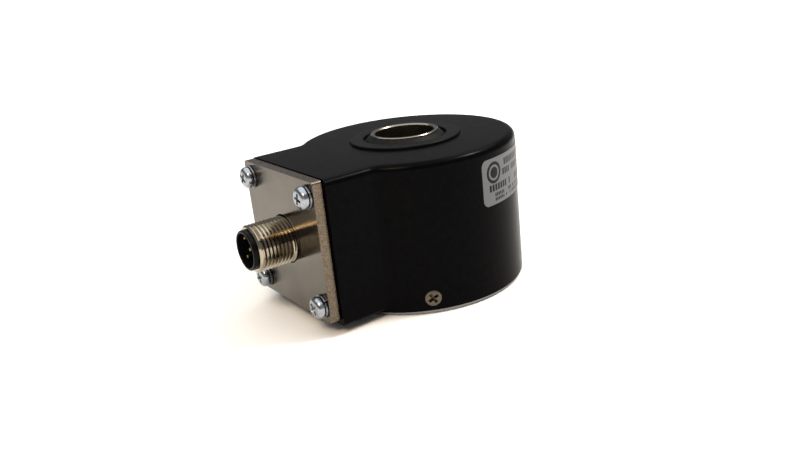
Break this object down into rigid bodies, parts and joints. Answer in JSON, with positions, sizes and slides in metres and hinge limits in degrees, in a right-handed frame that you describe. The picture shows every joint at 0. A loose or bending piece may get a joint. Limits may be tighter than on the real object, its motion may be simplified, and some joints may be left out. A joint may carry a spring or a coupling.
{
  "type": "hollow-shaft rotary encoder",
  "caption": "Round hollow-shaft rotary encoder with a boxed side housing, a screwed metal plate and a threaded round plug connector.",
  "frame": {"origin": "centre of the through bore, on the mounting face at the underside of the base", "axes": "+Z along the bore, from the mounting face to the sleeve end; -X towards the connector; +Y completes the right-handed frame"},
  "size_m": [0.079, 0.0581, 0.0407],
  "materials": {
    "black_coat": "satin black powder coat on die-cast aluminium",
    "bright_aluminium": "turned",
    "black_plastic": "moulded",
    "black_rubber": "moulded",
    "screw_steel": "zinc-plated, blue passivated",
    "nickel_screw": "nickel-plated",
    "nickel_plate": "satin nickel plate",
    "nickel_brass": "nickel-plated brass",
    "gold_contact": "gold-plated",
    "shaft_steel": "ground stainless",
    "bearing_steel": "ground",
    "cage_brass": "pressed",
    "spring_steel": "phosphated",
    "black_oxide": "black oxide",
    "pillar_brass": "turned",
    "board_green": "solder mask",
    "chip_black": "moulded epoxy",
    "header_white": "moulded nylon",
    "clear_lens": "clear epoxy",
    "disc_glass": "polished, chrome tracks",
    "disc_ring_metal": "turned",
    "wire_sleeve": "extruded insulation",
    "label_film": "printed polyester film"
  },
  "bodies": {
    "housing": {"cover": "black_coat", "base": "bright_aluminium", "base_seal": "black_rubber", "cover_screws": "nickel_screw", "access_plug": "black_rubber", "top_cap": "black_plastic", "shaft_seal": "black_rubber", "lower_outer_race": "bearing_steel", "upper_outer_race": "bearing_steel", "bearing_spacer": "spring_steel", "preload_spring": "spring_steel", "bearing_clip": "spring_steel", "board_pillars": "pillar_brass", "circuit_board": "board_green", "board_screws": "screw_steel", "board_parts": "chip_black", "sensor_chip": "chip_black", "wire_header": "header_white", "lamp_bracket": "black_plastic", "lamp": "clear_lens", "lamp_screw": "screw_steel", "connector_plate": "nickel_plate", "plate_gasket": "black_rubber", "plate_screws": "screw_steel", "lock_washers": "screw_steel", "connector_shell": "nickel_brass", "shell_seal": "black_rubber", "connector_insert": "black_plastic", "contact_pins": "gold_contact", "signal_wires": "wire_sleeve", "label": "label_film"},
    "rotor": {"hollow_shaft": "shaft_steel", "lower_inner_race": "bearing_steel", "upper_inner_race": "bearing_steel", "shaft_clip": "spring_steel", "disc_hub": "bright_aluminium", "hub_set_screws": "black_oxide", "code_disc": "disc_glass", "disc_ring": "disc_ring_metal", "dust_ring": "black_rubber", "clamp_collar": "black_oxide", "clamp_screw": "black_oxide"},
    "lower_ball_set": {"lower_balls": "bearing_steel", "lower_cage": "cage_brass"},
    "upper_ball_set": {"upper_balls": "bearing_steel", "upper_cage": "cage_brass"}
  },
  "joints": [
    {"name": "shaft_spin", "type": "hinge", "parent": "housing", "child": "rotor", "pos_m": [0, 0, 0], "axis": [0, 0, 1], "continuous": true},
    {"name": "lower_cage_spin", "type": "hinge", "parent": "housing", "child": "lower_ball_set", "pos_m": [0, 0, 0], "axis": [0, 0, 1], "continuous": true},
    {"name": "upper_cage_spin", "type": "hinge", "parent": "housing", "child": "upper_ball_set", "pos_m": [0, 0, 0], "axis": [0, 0, 1], "continuous": true}
  ],
  "couplings": [
    {"joint": "lower_cage_spin", "follows": "shaft_spin", "ratio": 0.43269},
    {"joint": "upper_cage_spin", "follows": "shaft_spin", "ratio": 0.43269}
  ]
}
